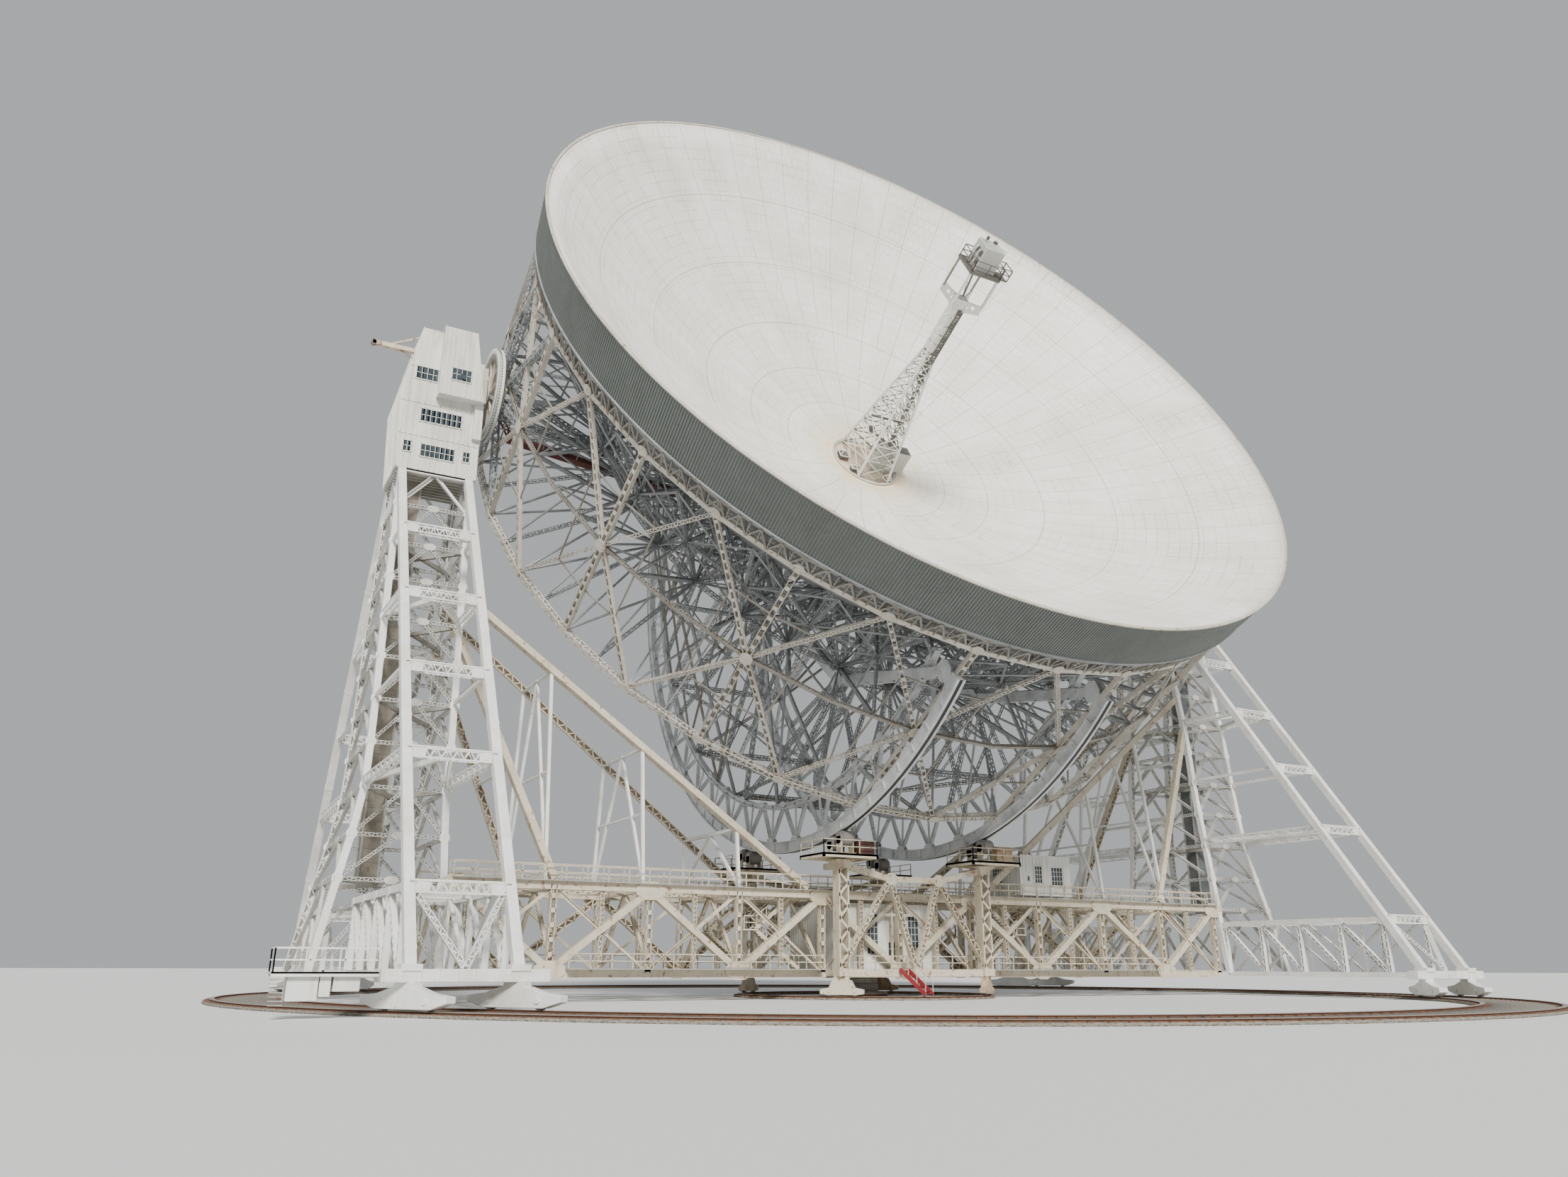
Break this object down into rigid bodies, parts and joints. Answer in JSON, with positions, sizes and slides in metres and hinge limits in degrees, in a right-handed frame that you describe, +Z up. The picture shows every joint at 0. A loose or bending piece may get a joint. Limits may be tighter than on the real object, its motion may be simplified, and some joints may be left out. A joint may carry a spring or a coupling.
{
  "type": "radio telescope dish, 1:10 scale model",
  "caption": "Fully steerable radio telescope dish on two raking lattice towers, with a turning base on circular tracks and wheel girders under the bowl.",
  "frame": {"origin": "centre of the azimuth pivot at the underside of the circular tracks", "axes": "+Z up, elevation axis along X, the bowl tips towards -Y"},
  "size_m": [10.75, 10.75, 9.2937],
  "materials": {
    "lit_paint": "weathered off-white paint",
    "lattice_paint": "weathered pale grey paint",
    "wall_cladding": "white profiled sheet with streaks",
    "skirt_cladding": "grey profiled sheet",
    "old_membrane": "grey painted sheet",
    "reflector_paint": "off-white welded plate",
    "rail_steel": "rusty rail steel",
    "red_paint": "red paint"
  },
  "bodies": {
    "track": {"outer_track": "rail_steel", "inner_track": "rail_steel", "centre_pivot": "rail_steel"},
    "turning_frame": {"left_column": "lit_paint", "left_front_end_beam": "lit_paint", "left_front_raking_legs": "lit_paint", "left_front_side_truss": "lit_paint", "left_back_end_beam": "lit_paint", "left_back_raking_legs": "lit_paint", "left_back_side_truss": "lit_paint", "left_head_house": "wall_cladding", "left_lift_shaft": "lattice_paint", "left_trunnion_bearing": "lattice_paint", "right_column": "lit_paint", "right_front_end_beam": "lit_paint", "right_front_raking_legs": "lit_paint", "right_front_side_truss": "lit_paint", "right_back_end_beam": "lit_paint", "right_back_raking_legs": "lit_paint", "right_back_side_truss": "lit_paint", "right_head_house": "wall_cladding", "right_lift_shaft": "lattice_paint", "right_trunnion_bearing": "lattice_paint", "left_crane_jib": "lattice_paint", "left_foot_platform": "lit_paint", "front_base_girder": "lit_paint", "front_cradle_frame": "lit_paint", "back_base_girder": "lit_paint", "back_cradle_frame": "lit_paint", "deck_bracing": "lattice_paint", "floor_bracing": "lattice_paint", "motor_room": "wall_cladding", "control_cabin": "wall_cladding", "entry_stair": "red_paint", "left_long_struts": "lit_paint", "left_steep_struts": "lit_paint", "right_long_struts": "lit_paint", "right_steep_struts": "lit_paint"},
    "bowl": {"dish_outer_ring": "reflector_paint", "dish_middle_ring": "reflector_paint", "dish_centre": "reflector_paint", "rim_skirt": "skirt_cladding", "old_bowl": "old_membrane", "left_wheel_girder": "lattice_paint", "right_wheel_girder": "lattice_paint", "front_edge_lattice": "lit_paint", "right_edge_lattice": "lit_paint", "back_edge_lattice": "lit_paint", "left_edge_lattice": "lit_paint", "bowl_ribs": "lattice_paint", "wheel_cross_bracing": "lattice_paint", "left_trunnion": "lattice_paint", "right_trunnion": "lattice_paint", "left_axis_walkway": "lit_paint", "mast_lower": "lit_paint", "mast_hut": "lit_paint", "mast_upper": "lit_paint", "feed_frame": "lit_paint", "focus_box": "wall_cladding"}
  },
  "joints": [
    {"name": "azimuth_turn", "type": "hinge", "parent": "track", "child": "turning_frame", "pos_m": [0, 0, 0], "axis": [0, 0, 1], "range_deg": [-180, 180]},
    {"name": "elevation_tilt", "type": "hinge", "parent": "turning_frame", "child": "bowl", "pos_m": [0, 0, 5.08], "axis": [1, 0, 0], "range_deg": [-60.8, 29.2]}
  ]
}
